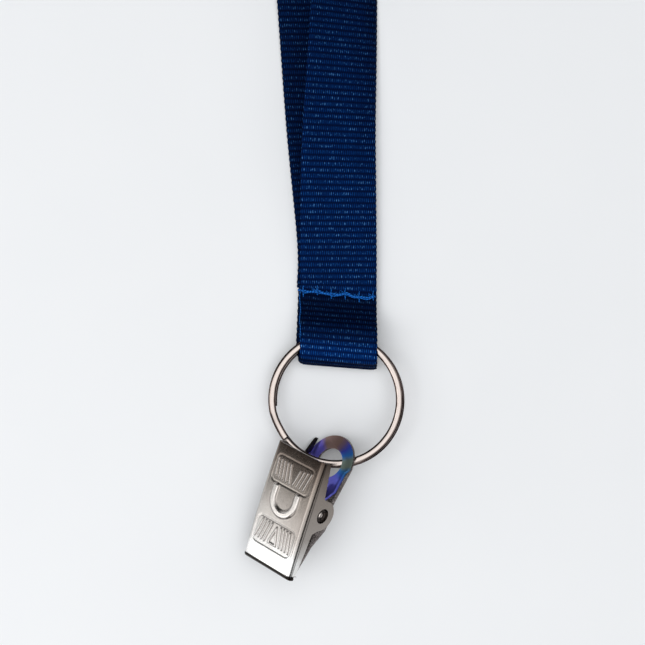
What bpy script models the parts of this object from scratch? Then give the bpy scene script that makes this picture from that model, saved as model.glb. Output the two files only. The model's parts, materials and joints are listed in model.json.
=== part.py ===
"""Lanyard: a flat woven strap sewn round a split ring that carries a sprung bulldog clip.

Lengths are millimetres, turned to metres by MM. +Z is up and the lanyard lies on Z = 0.
"""
import math

import bpy
import bmesh
from mathutils import Matrix, Vector

MM = 0.001

# Strap
STRAP_WIDTH = 15.0
STRAP_THICK = 0.8
LAYER_GAP = 0.3                  # air left between touching pieces
STRAP_X = 3.1                    # middle of the sewn end
SEAM_Y = 26.6
LOOP_TOP_Y = 28.4                # where the sewn end meets the two strands
FOLD_LEFT_DROP = 3.52285         # outside of the fold below the wire's middle, at the left edge
FOLD_RIGHT_DROP = 3.90584
THREAD_DIA = 0.5
RIGHT_EDGE = STRAP_X + STRAP_WIDTH / 2
LOW = STRAP_THICK / 2            # middle of a layer that lies on the table
HIGH = STRAP_THICK + LAYER_GAP + STRAP_THICK / 2

# Route of the two strands up to the stored coil: y, right edge x, right edge z, roll in degrees
FRONT_ROUTE = (
    (28.7, RIGHT_EDGE, HIGH, 0.0),
    (37.0, RIGHT_EDGE, HIGH, 3.0),
    (48.0, RIGHT_EDGE - 0.1, HIGH, 11.0),
    (59.0, RIGHT_EDGE - 0.2, HIGH, 19.0),
    (72.0, RIGHT_EDGE, LOW + 0.5, 26.0),
    (85.0, RIGHT_EDGE + 0.1, LOW, 33.0),
    (98.0, RIGHT_EDGE - 0.1, LOW, 49.0),
    (112.0, 10.2, LOW, 72.0),
    (126.0, 10.0, LOW, 90.0),
)
BACK_ROUTE = (
    (28.7, RIGHT_EDGE - 0.6, LOW, 0.0),
    (37.0, RIGHT_EDGE - 0.6, LOW, 0.0),
    (59.0, RIGHT_EDGE - 2.7, LOW, 0.0),
    (85.0, 6.0, LOW, 2.0),
    (98.0, 5.0, LOW, 16.0),
    (112.0, 4.4, LOW, 46.0),
    (125.0, 4.1, LOW, 76.0),
    (138.8, 4.0, LOW, 90.0),
)
COIL_CENTRE = (44.0, 150.0)
COIL_OUTER_R = 41.0
COIL_INNER_R = 16.0

# Split ring, two touching turns of flat wire
RING_MEAN_R = 12.45
WIRE_RADIAL = 1.44
WIRE_AXIAL = 0.8
TURN_GAP = 0.1
RING_TILT_X = -2.6
RING_TILT_Y = -4.6
WIRE_IN_LOOP = Vector((2.56, 18.45, 2.884649))   # the wire's middle where it tops out in the strap
RING_CENTRE = WIRE_IN_LOOP - Vector((0, 1, math.tan(math.radians(RING_TILT_X)))) * RING_MEAN_R
GRIP_ANGLE = -95.0767            # where the clip hangs, in the ring's own plane
RING_END_ANGLE = 215.5           # where the outer turn ends
RING_SWEEP = 688.0

# Clip, in its own frame: origin on the pivot, +X along the pivot, +Y to the levers, +Z outward
HOLE_FROM_WIRE = Vector((0.014146, 0.056583, -0.107749))
CLIP_HEADING = -17.5
CLIP_PITCH = 7.1
CLIP_ROLL = -40.8
SHEET = 0.5
FRONT_WIDTH = 12.7
SIDE_GAP = 0.4                   # between the front flanges and the back jaw, each side
LEVER_END_Y = 10.5
JAW_TIP_Y = -13.2
FRONT_FACE_Z = 4.4
FRONT_EAR_R = 3.0
BACK_EAR_R = 2.3
EYELET_R = 1.5                   # hole in the front ears
JOURNAL_R = 1.35                 # head of the pin that turns in it
SHANK_R = 0.75
BEND_R = 0.8
TAB_HOLE_Y = 8.6
TAB_HOLE_R = 3.0
FLANGE_END_Y = 9.0               # the back lever's side flanges stop beside the hole
LEVER_SPLAY = 17.0               # the back lever leans away from the front one, degrees
KNEE_Y = 1.95                    # where the back lever starts to lean
SPRING_R = 1.95
SPRING_WIRE = 0.85
SPRING_TURNS = 4
SPRING_PITCH = 1.1
SPRING_LEG_Y = 5.8
KNEE_Z = -(SPRING_R + SPRING_WIRE / 2 + 0.385 + SHEET)
RIB_HEIGHT = 0.3
PANEL_DEPTH = 0.2

BACK_HALF = FRONT_WIDTH / 2 - SHEET - SIDE_GAP


# ---------------------------------------------------------------- scene helpers

def clear_scene():
    for obj in list(bpy.data.objects):
        bpy.data.objects.remove(obj, do_unlink=True)


def new_collection(name, hidden=False):
    coll = bpy.data.collections.new(name)
    bpy.context.scene.collection.children.link(coll)
    coll.hide_render = hidden
    return coll


def material(name, colour, metallic, roughness):
    mat = bpy.data.materials.new(name)
    mat.use_nodes = True
    shader = mat.node_tree.nodes["Principled BSDF"]
    shader.inputs["Base Color"].default_value = (*colour, 1.0)
    shader.inputs["Metallic"].default_value = metallic
    shader.inputs["Roughness"].default_value = roughness
    mat.diffuse_color = (*colour, 1.0)
    return mat


def add_object(name, data, coll, mat=None, parent=None):
    obj = bpy.data.objects.new(name, data)
    coll.objects.link(obj)
    obj.parent = parent
    if mat:
        data.materials.clear()
        data.materials.append(mat)
    return obj


def axis_empty(name, location, coll, parent=None, rotation=None):
    """An empty on a joint's axis, placed in world space (metres) whatever its parent is."""
    empty = bpy.data.objects.new(name, None)
    empty.empty_display_size = 0.004
    coll.objects.link(empty)
    empty.parent = parent
    world = Matrix.Translation(location)
    if rotation:
        world = world @ rotation.to_4x4()
    empty.matrix_world = world
    bpy.context.view_layer.update()
    empty.matrix_world = world
    return empty


def cut(obj, cutter, operation="DIFFERENCE"):
    mod = obj.modifiers.new(operation.title() + " " + cutter.name, "BOOLEAN")
    mod.operation = operation
    mod.solver = "EXACT"
    mod.object = cutter


def curve_to_mesh(obj, name, coll):
    """Turn a filled or beveled curve into a welded mesh object in the same place."""
    bpy.context.view_layer.update()
    evaluated = obj.evaluated_get(bpy.context.evaluated_depsgraph_get())
    mesh = bpy.data.meshes.new_from_object(evaluated)
    bm = bmesh.new()
    bm.from_mesh(mesh)
    bmesh.ops.remove_doubles(bm, verts=bm.verts, dist=1e-7)
    bmesh.ops.recalc_face_normals(bm, faces=bm.faces)
    bm.to_mesh(mesh)
    bm.free()
    solid = bpy.data.objects.new(name, mesh)
    coll.objects.link(solid)
    solid.parent = obj.parent
    solid.matrix_world = obj.matrix_world
    curve = obj.data
    bpy.data.objects.remove(obj, do_unlink=True)
    bpy.data.curves.remove(curve)
    return solid


def prism(name, outline, low, high, axis, coll):
    """Extrude a closed 2D outline (mm) from low to high along local X, Y or Z."""
    curve = bpy.data.curves.new(name + "_outline", "CURVE")
    curve.dimensions = "2D"
    curve.fill_mode = "BOTH"
    curve.extrude = (high - low) / 2 * MM
    spline = curve.splines.new("POLY")
    spline.points.add(len(outline) - 1)
    for point, (a, b) in zip(spline.points, outline):
        point.co = (a * MM, b * MM, 0.0, 1.0)
    spline.use_cyclic_u = True
    flat = bpy.data.objects.new(name + "_flat", curve)
    coll.objects.link(flat)
    middle = (high + low) / 2 * MM
    if axis == "X":              # outline is (Y, Z)
        turn = Matrix(((0, 0, 1), (1, 0, 0), (0, 1, 0)))
        shift = Vector((middle, 0, 0))
    elif axis == "Y":            # outline is (Z, X)
        turn = Matrix(((0, 1, 0), (0, 0, 1), (1, 0, 0)))
        shift = Vector((0, middle, 0))
    else:                        # outline is (X, Y)
        turn = Matrix.Identity(3)
        shift = Vector((0, 0, middle))
    place = Matrix.Translation(shift) @ turn.to_4x4()
    solid = curve_to_mesh(flat, name, coll)
    solid.data.transform(place)
    return solid


def rod(name, radius, half_length, coll, segments=48):
    """A cylinder along local X."""
    mesh = bpy.data.meshes.new(name)
    bm = bmesh.new()
    bmesh.ops.create_cone(
        bm, cap_ends=True, segments=segments,
        radius1=radius * MM, radius2=radius * MM, depth=2 * half_length * MM,
        matrix=Matrix.Rotation(math.radians(90), 4, "Y"),
    )
    bm.to_mesh(mesh)
    bm.free()
    obj = bpy.data.objects.new(name, mesh)
    coll.objects.link(obj)
    return obj


def make_cutter(obj, parent=None):
    obj.display_type = "WIRE"
    obj.hide_render = True
    obj.parent = parent


def arc(centre, radius, start, end, steps):
    points = []
    for i in range(steps + 1):
        angle = math.radians(start + (end - start) * i / steps)
        points.append((centre[0] + radius * math.cos(angle), centre[1] + radius * math.sin(angle)))
    return points


def smooth_curve(points, per_span):
    """Catmull-Rom points through a list of tuples of any length."""
    result = []
    last = len(points) - 1
    for i in range(last):
        p0 = points[max(i - 1, 0)]
        p1 = points[i]
        p2 = points[i + 1]
        p3 = points[min(i + 2, last)]
        for k in range(per_span):
            t = k / per_span
            result.append(tuple(
                0.5 * (2 * b + (c - a) * t + (2 * a - 5 * b + 4 * c - d) * t ** 2
                       + (3 * b - a - 3 * c + d) * t ** 3)
                for a, b, c, d in zip(p0, p1, p2, p3)
            ))
    result.append(tuple(points[-1]))
    return result


# ---------------------------------------------------------------- strap

def ribbon(name, rows, coll, mat):
    """A woven band: a grid through rows of points (mm), given its thickness by Solidify."""
    across = len(rows[0])
    mesh = bpy.data.meshes.new(name)
    bm = bmesh.new()
    bmesh.ops.create_grid(bm, x_segments=across - 1, y_segments=len(rows) - 1, size=1.0)
    bm.verts.ensure_lookup_table()
    for j, row in enumerate(rows):
        for i, point in enumerate(row):
            bm.verts[j * across + i].co = Vector(point) * MM
    bm.to_mesh(mesh)
    bm.free()
    obj = add_object(name, mesh, coll, mat)
    solid = obj.modifiers.new("Cloth thickness", "SOLIDIFY")
    solid.thickness = STRAP_THICK * MM
    solid.offset = 0.0
    solid.use_even_offset = True
    return obj


def wire_over(x):
    """Middle of the ring's wire, as (y, z), where it crosses the strap at x."""
    dx = x - RING_CENTRE.x
    dy = math.sqrt(RING_MEAN_R ** 2 - dx ** 2)
    z = RING_CENTRE.z - math.tan(math.radians(RING_TILT_Y)) * dx + math.tan(math.radians(RING_TILT_X)) * dy
    return RING_CENTRE.y + dy, z


def loop_section(x, share):
    """Middle line of the sewn end at x, from the back layer's top round the wire to the front."""
    half = STRAP_THICK / 2
    top_layer = STRAP_THICK + LAYER_GAP + half
    fold_left = wire_over(STRAP_X - STRAP_WIDTH / 2)[0] - FOLD_LEFT_DROP
    fold_right = wire_over(STRAP_X + STRAP_WIDTH / 2)[0] - FOLD_RIGHT_DROP
    fold = fold_left + (fold_right - fold_left) * share
    wire_y, wire_z = wire_over(x)
    over = wire_z + WIRE_AXIAL + TURN_GAP / 2 + LAYER_GAP + half
    slant = (wire_y - RING_CENTRE.y) / RING_MEAN_R
    spread = max(1.0, 0.76 / slant) ** 2     # a wire that crosses more aslant needs a wider crown
    points = [
        (LOOP_TOP_Y, half),
        (24.0, half),
        (18.0, half),
        (fold + 2.6, half + 0.02),
        (fold + 0.85, half + 0.45),
        (fold + half, half + 1.25),
        (fold + 1.0, half + 2.2),
        (wire_y - 1.0 * spread, over),
        (wire_y + 0.6 * spread, over),
        (wire_y + 3.2, top_layer + 0.45 * (over - top_layer)),
        (SEAM_Y - 1.6, top_layer + 0.03),
        (SEAM_Y, top_layer),
        (LOOP_TOP_Y, top_layer),
    ]
    return smooth_curve(points, 4)


def build_loop(coll, mat):
    columns = 12
    under_shift = -0.7           # the back layer sits a little to the left of the front one
    sections = []
    for i in range(columns + 1):
        share = i / columns
        x = STRAP_X + STRAP_WIDTH * (share - 0.5)
        section = loop_section(x, share)
        column = []
        for k, (y, z) in enumerate(section):
            under = max(0.0, 1.0 - 2.5 * k / (len(section) - 1))
            column.append((x + under_shift * under, y, z))
        sections.append(column)
    rows = [list(row) for row in zip(*sections)]
    return ribbon("strap_end_loop", rows, coll, mat)


def build_strand(name, route, coll, mat):
    """A strand that starts flat and rolls up onto its right edge on the way to the coil."""
    rows = []
    for y, edge_x, edge_z, roll in smooth_curve(list(route), 5):
        angle = math.radians(roll)
        left = (edge_x - STRAP_WIDTH * math.cos(angle), y, edge_z + STRAP_WIDTH * math.sin(angle))
        rows.append([left, (edge_x, y, edge_z)])
    return ribbon(name, rows, coll, mat)


def build_coil(coll, mat):
    """The outer shape of the stored, coiled length: a ring that stands on the table."""
    mesh = bpy.data.meshes.new("strap_coil")
    bm = bmesh.new()
    low = 0.0
    high = STRAP_WIDTH + STRAP_THICK / 2
    corners = [
        (COIL_INNER_R, low), (COIL_INNER_R, high), (COIL_OUTER_R, high), (COIL_OUTER_R, low),
    ]
    verts = [bm.verts.new((r * MM, 0.0, z * MM)) for r, z in corners]
    for a, b in zip(verts, verts[1:] + verts[:1]):
        bm.edges.new((a, b))
    bm.to_mesh(mesh)
    bm.free()
    obj = add_object("strap_coil", mesh, coll, mat)
    obj.location = (COIL_CENTRE[0] * MM, COIL_CENTRE[1] * MM, 0.0)
    turn = obj.modifiers.new("Turn", "SCREW")
    turn.angle = math.tau
    turn.steps = 72
    turn.render_steps = 72
    turn.use_merge_vertices = True
    turn.merge_threshold = 1e-6
    turn.use_normal_calculate = True
    turn.use_normal_flip = True
    return obj


def build_thread(coll, mat):
    """The line of stitching across the strap, tucked down its left edge."""
    surface = STRAP_THICK * 2 + LAYER_GAP + THREAD_DIA / 2 + 0.1
    left = STRAP_X - STRAP_WIDTH / 2
    outside = left - THREAD_DIA / 2 - 0.1
    stitches = 5
    span = STRAP_WIDTH - 0.8
    route = []
    for i in range(stitches * 2 + 1):
        x = left + STRAP_WIDTH - 0.4 - span * i / (stitches * 2)
        wave = 0.22 if i % 2 else -0.18
        route.append((x, SEAM_Y - 0.65 + 0.09 * (left + STRAP_WIDTH - x) + wave, surface))
    end_y = route[-1][1]
    route += [
        (outside, end_y + 0.1, surface - 0.35),
        (outside, end_y + 0.15, STRAP_THICK + THREAD_DIA / 2 + 0.1),
    ]
    return wire_curve("seam_thread", smooth_curve(route, 4), THREAD_DIA / 2, coll, mat)


def wire_curve(name, points, radius, coll, mat, parent=None):
    curve = bpy.data.curves.new(name, "CURVE")
    curve.dimensions = "3D"
    curve.bevel_depth = radius * MM
    curve.bevel_resolution = 2
    curve.use_fill_caps = True
    spline = curve.splines.new("POLY")
    spline.points.add(len(points) - 1)
    for point, co in zip(spline.points, points):
        point.co = (*(Vector(co) * MM), 1.0)
    return add_object(name, curve, coll, mat, parent)


# ---------------------------------------------------------------- split ring

def ring_level(sweep):
    """Height of the wire's middle after a sweep in degrees: it steps down at the ring's ends."""
    upper = (WIRE_AXIAL + TURN_GAP) / 2
    step_start = 332.0
    step_end = 356.0
    if sweep <= step_start:
        return upper
    if sweep >= step_end:
        return -upper
    share = (sweep - step_start) / (step_end - step_start)
    return upper * math.cos(math.pi * share)


def wire_profile(coll):
    """Rounded cross-section of the flat wire, used as the ring curve's bevel shape."""
    curve = bpy.data.curves.new("wire_section", "CURVE")
    curve.dimensions = "2D"
    corner = 0.2
    half_r = WIRE_RADIAL / 2 - corner
    half_a = WIRE_AXIAL / 2 - corner
    outline = arc((half_r, half_a), corner, 0, 90, 2)
    outline += arc((-half_r, half_a), corner, 90, 180, 2)
    outline += arc((-half_r, -half_a), corner, 180, 270, 2)
    outline += arc((half_r, -half_a), corner, 270, 360, 2)
    spline = curve.splines.new("POLY")
    spline.points.add(len(outline) - 1)
    for point, (a, b) in zip(spline.points, outline):
        point.co = (a * MM, b * MM, 0.0, 1.0)
    spline.use_cyclic_u = True
    obj = bpy.data.objects.new("wire_section", curve)
    coll.objects.link(obj)
    make_cutter(obj)
    return obj


def build_ring(coll, cutters, mat, parent):
    curve = bpy.data.curves.new("split_ring", "CURVE")
    curve.dimensions = "3D"
    curve.twist_mode = "Z_UP"
    curve.bevel_mode = "OBJECT"
    curve.bevel_object = wire_profile(cutters)
    curve.use_fill_caps = True
    count = 138
    spline = curve.splines.new("POLY")
    spline.points.add(count)
    for i, point in enumerate(spline.points):
        sweep = 2.0 + RING_SWEEP * i / count
        angle = math.radians(RING_END_ANGLE + sweep)
        point.co = (
            RING_MEAN_R * math.cos(angle) * MM,
            RING_MEAN_R * math.sin(angle) * MM,
            ring_level(sweep) * MM,
            1.0,
        )
    path = add_object("ring_path", curve, coll)
    obj = curve_to_mesh(path, "split_ring", coll)
    obj.data.materials.clear()
    obj.data.materials.append(mat)
    obj.parent = parent
    bpy.context.view_layer.update()
    obj.matrix_world = Matrix.Translation(RING_CENTRE * MM) @ ring_tilt().to_4x4()
    return obj


def ring_tilt():
    return (
        Matrix.Rotation(math.radians(RING_TILT_Y), 3, "Y")
        @ Matrix.Rotation(math.radians(RING_TILT_X), 3, "X")
    )


def ring_grip():
    """Middle of the wire where the clip's tab hangs on it."""
    angle = math.radians(GRIP_ANGLE)
    return RING_CENTRE + ring_tilt() @ Vector((math.cos(angle), math.sin(angle), 0)) * RING_MEAN_R


# ---------------------------------------------------------------- clip

def clip_rotation():
    return (
        Matrix.Rotation(math.radians(CLIP_HEADING), 3, "Z")
        @ Matrix.Rotation(math.radians(CLIP_PITCH), 3, "X")
        @ Matrix.Rotation(math.radians(CLIP_ROLL), 3, "Y")
    )


def clip_pivot():
    """Where the pivot lies when the tab's hole hangs on the ring."""
    return ring_grip() + HOLE_FROM_WIRE - clip_rotation() @ tab_hole_centre()


def back_surface(y):
    """Z of the straight back lever's outer face."""
    return KNEE_Z - math.tan(math.radians(LEVER_SPLAY)) * (y - KNEE_Y)


def back_path():
    """Outer face of the back jaw as (Y, Z), from the lever end to the jaw tip."""
    end_y = TAB_HOLE_Y + BACK_HALF + 0.6
    return [
        (end_y, back_surface(end_y)),
        (KNEE_Y, KNEE_Z),
        (0.2, KNEE_Z - 0.29),
        (-1.85, KNEE_Z - 0.34),
        (-3.4, KNEE_Z + 0.06),
        (-6.7, KNEE_Z + 2.46),
        (JAW_TIP_Y + 0.2, FRONT_FACE_Z - 2.76),
    ]


def offset_path(path, distance):
    """Shift an open (Y, Z) path sideways, towards the front jaw."""
    result = []
    for i, point in enumerate(path):
        before = Vector(path[max(i - 1, 0)])
        after = Vector(path[min(i + 1, len(path) - 1)])
        along = (after - before).normalized()
        normal = Vector((along.y, -along.x))
        if normal.y < 0:
            normal = -normal
        result.append((point[0] + normal.x * distance, point[1] + normal.y * distance))
    return result


def channel_outline(half_width, top, corner, bottom):
    """Cross-section (Z, X) with two rounded top corners, open-ended downwards."""
    inner = half_width - corner
    outline = [(bottom, -half_width), (bottom, half_width)]
    outline += [(top - corner + a, inner + b) for a, b in
                [(corner * math.sin(math.radians(t)), corner * math.cos(math.radians(t)))
                 for t in range(0, 91, 15)]]
    outline += [(top - corner + a, -inner - b) for a, b in
                [(corner * math.sin(math.radians(t)), corner * math.cos(math.radians(t)))
                 for t in range(90, -1, -15)]]
    return outline


def rounded_rectangle(low, high, corner):
    outline = arc((high[0] - corner, high[1] - corner), corner, 0, 90, 5)
    outline += arc((low[0] + corner, high[1] - corner), corner, 90, 180, 5)
    outline += arc((low[0] + corner, low[1] + corner), corner, 180, 270, 5)
    outline += arc((high[0] - corner, low[1] + corner), corner, 270, 360, 5)
    return outline


def build_front_jaw(coll, cutters, mat, pivot):
    lip_z = FRONT_FACE_Z - 1.9
    outline = [
        (LEVER_END_Y, FRONT_FACE_Z), (LEVER_END_Y, 3.3), (LEVER_END_Y - 0.3, 2.5),
        (LEVER_END_Y - 0.9, 2.1), (3.6, 0.95),
    ]
    outline += arc((0, 0), FRONT_EAR_R, -8, -172, 20)
    outline += [(-3.8, 1.4), (-7.8, 1.8), (JAW_TIP_Y, lip_z), (JAW_TIP_Y, FRONT_FACE_Z)]
    jaw = prism("clip_front_jaw", outline, -FRONT_WIDTH / 2, FRONT_WIDTH / 2, "X", coll)
    jaw.data.materials.append(mat)
    jaw.parent = pivot
    outer = prism("front_outer_shape", channel_outline(FRONT_WIDTH / 2, FRONT_FACE_Z, BEND_R, -8),
                  -20, 20, "Y", cutters)
    inner = prism("front_inside", channel_outline(FRONT_WIDTH / 2 - SHEET, FRONT_FACE_Z - SHEET,
                  BEND_R - SHEET, -8.5), JAW_TIP_Y + SHEET, 20, "Y", cutters)
    eyelet = rod("front_eyelet", EYELET_R, FRONT_WIDTH, cutters)
    panel_half = FRONT_WIDTH / 2 - 1.3
    for cutter, operation in ((outer, "INTERSECT"), (inner, "DIFFERENCE"), (eyelet, "DIFFERENCE")):
        make_cutter(cutter, pivot)
        cut(jaw, cutter, operation)
    for index, (low_y, high_y) in enumerate(((3.2, 8.5), (-9.3, -3.9))):
        panel = prism(f"front_panel_{index}", rounded_rectangle(
            (-panel_half, low_y), (panel_half, high_y), 1.0),
            FRONT_FACE_Z - PANEL_DEPTH, FRONT_FACE_Z + 1, "Z", cutters)
        make_cutter(panel, pivot)
        cut(jaw, panel)
    rib = prism("front_rib", horseshoe_outline(), FRONT_FACE_Z - SHEET / 2,
                FRONT_FACE_Z + RIB_HEIGHT, "Z", cutters)
    make_cutter(rib, pivot)
    cut(jaw, rib, "UNION")
    return jaw


def horseshoe_outline():
    """A raised U that stiffens the front plate, open towards the lever end."""
    outer_r = 3.6
    inner_r = 2.0
    centre = (0.0, 0.9)
    end_y = 2.5
    outline = [(outer_r, end_y)]
    outline += arc(centre, outer_r, 0, -180, 20)
    outline += [(-outer_r, end_y), (-inner_r, end_y)]
    outline += arc(centre, inner_r, -180, 0, 20)
    outline += [(inner_r, end_y)]
    return outline


def build_back_jaw(coll, cutters, mat, parent):
    path = back_path()
    tip_y, tip_z = path[-1]
    flange = 1.27
    outline = list(path)
    outline += [
        (tip_y, tip_z + SHEET + 0.03),
        (tip_y + 1.0, tip_z + 1.0),
        (-7.2, 0.72),
        (-4.2, 0.5),
    ]
    outline += arc((0, 0), BACK_EAR_R, 170, 10, 18)
    outline += [
        (4.5, back_surface(4.5) + flange),
        (FLANGE_END_Y - 0.5, back_surface(FLANGE_END_Y - 0.5) + flange),
        (FLANGE_END_Y, back_surface(FLANGE_END_Y) + SHEET + 0.05),
        (path[0][0], path[0][1] + SHEET + 0.01),
    ]
    jaw = prism("clip_back_jaw", outline, -BACK_HALF, BACK_HALF, "X", coll)
    jaw.data.materials.append(mat)
    jaw.parent = parent
    inner = offset_path(path, SHEET)
    hollow_outline = [(inner[0][0] + 4, back_surface(inner[0][0] + 4) + SHEET * 1.02)]
    hollow_outline += inner[1:-1]
    slope = (inner[-1][1] - inner[-2][1]) / (inner[-1][0] - inner[-2][0])
    hollow_outline += [
        (inner[-1][0] - 4, inner[-1][1] - 4 * slope),
        (inner[-1][0] - 4, 8.0),
        (inner[0][0] + 4, 8.0),
    ]
    hollow = prism("back_inside", hollow_outline, -BACK_HALF + SHEET, BACK_HALF - SHEET, "X", cutters)
    plan = arc((0, TAB_HOLE_Y), BACK_HALF, 0, 180, 28)
    plan += [(-BACK_HALF, JAW_TIP_Y - 3), (BACK_HALF, JAW_TIP_Y - 3)]
    rounded_end = prism("back_plan", plan, -14, 10, "Z", cutters)
    shank_hole = rod("back_pin_hole", SHANK_R + 0.15, FRONT_WIDTH, cutters)
    for cutter, operation in ((hollow, "DIFFERENCE"), (rounded_end, "INTERSECT"),
                              (shank_hole, "DIFFERENCE")):
        make_cutter(cutter, parent)
        cut(jaw, cutter, operation)
    tab_hole = rod("tab_hole", TAB_HOLE_R, 3, cutters)
    tab_hole.data.transform(Matrix.Translation(tab_hole_centre() * MM)
                            @ Matrix.Rotation(math.radians(-LEVER_SPLAY), 4, "X")
                            @ Matrix.Rotation(math.radians(90), 4, "Y"))
    make_cutter(tab_hole, parent)
    cut(jaw, tab_hole)
    return jaw


def tab_hole_centre():
    """Middle of the tab's hole in the clip's frame, halfway through the sheet."""
    return Vector((0, TAB_HOLE_Y, back_surface(TAB_HOLE_Y) + SHEET / 2))


def build_pin(coll, mat, parent):
    """Turned pivot pin: a thin shank with a journal head at each end."""
    inner = BACK_HALF + 0.15
    outer = FRONT_WIDTH / 2 - 0.25
    profile = [
        (0, -outer), (JOURNAL_R - 0.25, -outer), (JOURNAL_R, -outer + 0.15), (JOURNAL_R, -inner),
        (SHANK_R, -inner), (SHANK_R, inner), (JOURNAL_R, inner), (JOURNAL_R, outer - 0.15),
        (JOURNAL_R - 0.25, outer), (0, outer),
    ]
    mesh = bpy.data.meshes.new("clip_pivot_pin")
    bm = bmesh.new()
    verts = [bm.verts.new((x * MM, r * MM, 0.0)) for r, x in profile]
    for a, b in zip(verts, verts[1:]):
        bm.edges.new((a, b))
    bm.to_mesh(mesh)
    bm.free()
    obj = add_object("clip_pivot_pin", mesh, coll, mat, parent)
    turn = obj.modifiers.new("Turn", "SCREW")
    turn.axis = "X"
    turn.angle = math.tau
    turn.steps = 32
    turn.render_steps = 32
    turn.use_merge_vertices = True
    turn.merge_threshold = 1e-6
    turn.use_normal_calculate = True
    return obj


def build_spring(coll, mat, parent):
    """Torsion spring round the pin, one leg under each lever."""
    clear = LAYER_GAP + 0.15 + SPRING_WIRE / 2
    half = SPRING_TURNS * SPRING_PITCH / 2
    front_leg = FRONT_FACE_Z - SHEET - clear
    back_leg = back_surface(SPRING_LEG_Y) + SHEET + clear
    points = [(-half, SPRING_LEG_Y, front_leg), (-half, SPRING_LEG_Y / 2, (front_leg + SPRING_R) / 2)]
    sweep = SPRING_TURNS * 360 + 180
    steps = 66
    for i in range(steps + 1):
        share = i / steps
        angle = math.radians(90 + sweep * share)
        points.append((half * (2 * share - 1), SPRING_R * math.cos(angle), SPRING_R * math.sin(angle)))
    points += [(half, SPRING_LEG_Y / 2, (back_leg - SPRING_R) / 2), (half, SPRING_LEG_Y, back_leg)]
    return wire_curve("clip_spring", points, SPRING_WIRE / 2, coll, mat, parent)


# ---------------------------------------------------------------- assembly

def build():
    clear_scene()
    parts = new_collection("lanyard")
    cutters = new_collection("cutters", hidden=True)
    cloth = material("strap_cloth", (0.004, 0.03, 0.11), 0.0, 0.85)
    thread = material("seam_thread", (0.01, 0.09, 0.30), 0.0, 0.7)
    ring_steel = material("ring_nickel", (0.62, 0.58, 0.55), 1.0, 0.16)
    clip_steel = material("clip_nickel", (0.66, 0.66, 0.66), 1.0, 0.22)
    inner_steel = material("clip_tempered", (0.42, 0.45, 0.50), 1.0, 0.3)
    spring_steel = material("spring_wire", (0.50, 0.50, 0.50), 1.0, 0.35)

    build_loop(parts, cloth)
    build_strand("strap_front_run", FRONT_ROUTE, parts, cloth)
    build_strand("strap_back_run", BACK_ROUTE, parts, cloth)
    build_coil(parts, cloth)
    build_thread(parts, thread)

    wire_y, wire_z = wire_over(STRAP_X)
    ring_axis = axis_empty("ring_swing_axis", Vector((STRAP_X, wire_y, wire_z)) * MM, parts)
    build_ring(parts, cutters, ring_steel, ring_axis)

    turn = clip_rotation()
    pivot = clip_pivot()
    clip_axis = axis_empty("clip_swing_axis", ring_grip() * MM, parts, ring_axis)
    body = axis_empty("clip_body_frame", pivot * MM, parts, clip_axis, turn)
    jaw_axis = axis_empty("jaw_open_axis", pivot * MM, parts, clip_axis, turn)
    build_back_jaw(parts, cutters, inner_steel, body)
    build_pin(parts, clip_steel, body)
    build_spring(parts, spring_steel, body)
    build_front_jaw(parts, cutters, clip_steel, jaw_axis)


build()
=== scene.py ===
import json
import math

import bpy
import bmesh
from mathutils import Matrix, Vector

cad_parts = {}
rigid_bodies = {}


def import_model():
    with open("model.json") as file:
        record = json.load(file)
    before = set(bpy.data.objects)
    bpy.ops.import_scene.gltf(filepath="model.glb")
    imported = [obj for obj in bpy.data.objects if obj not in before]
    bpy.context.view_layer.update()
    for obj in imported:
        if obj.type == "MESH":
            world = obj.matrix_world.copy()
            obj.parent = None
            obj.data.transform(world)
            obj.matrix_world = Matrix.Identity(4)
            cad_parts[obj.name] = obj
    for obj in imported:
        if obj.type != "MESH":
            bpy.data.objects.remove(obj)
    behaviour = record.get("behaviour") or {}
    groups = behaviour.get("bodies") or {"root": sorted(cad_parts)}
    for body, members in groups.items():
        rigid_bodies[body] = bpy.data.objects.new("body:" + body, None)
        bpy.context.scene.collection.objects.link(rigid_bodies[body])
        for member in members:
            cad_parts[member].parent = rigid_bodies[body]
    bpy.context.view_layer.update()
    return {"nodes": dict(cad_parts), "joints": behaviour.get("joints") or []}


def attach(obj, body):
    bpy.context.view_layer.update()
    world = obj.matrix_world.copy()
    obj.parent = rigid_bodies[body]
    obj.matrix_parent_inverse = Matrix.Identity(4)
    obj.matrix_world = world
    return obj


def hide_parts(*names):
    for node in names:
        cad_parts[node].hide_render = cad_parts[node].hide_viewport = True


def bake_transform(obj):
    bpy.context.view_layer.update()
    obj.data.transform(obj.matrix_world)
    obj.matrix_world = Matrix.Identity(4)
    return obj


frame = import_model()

MM = 0.001

# Strap, in millimetres
STRAP_WIDTH = 15.0
STRAP_THICK = 0.8
RIB_PITCH = 1.15
RIB_DEPTH = 0.13
WARP_PITCH = 0.42
STRAP_X = 3.1
SEAM_Y = 26.6
SEAM_SLANT = -0.078
FOLD_LEFT_Y = 12.8
FOLD_RIGHT_Y = 11.6
LAYER_GAP = 0.3
UNDER_SHIFT = -0.95              # the under layer lies this far to the left

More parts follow.
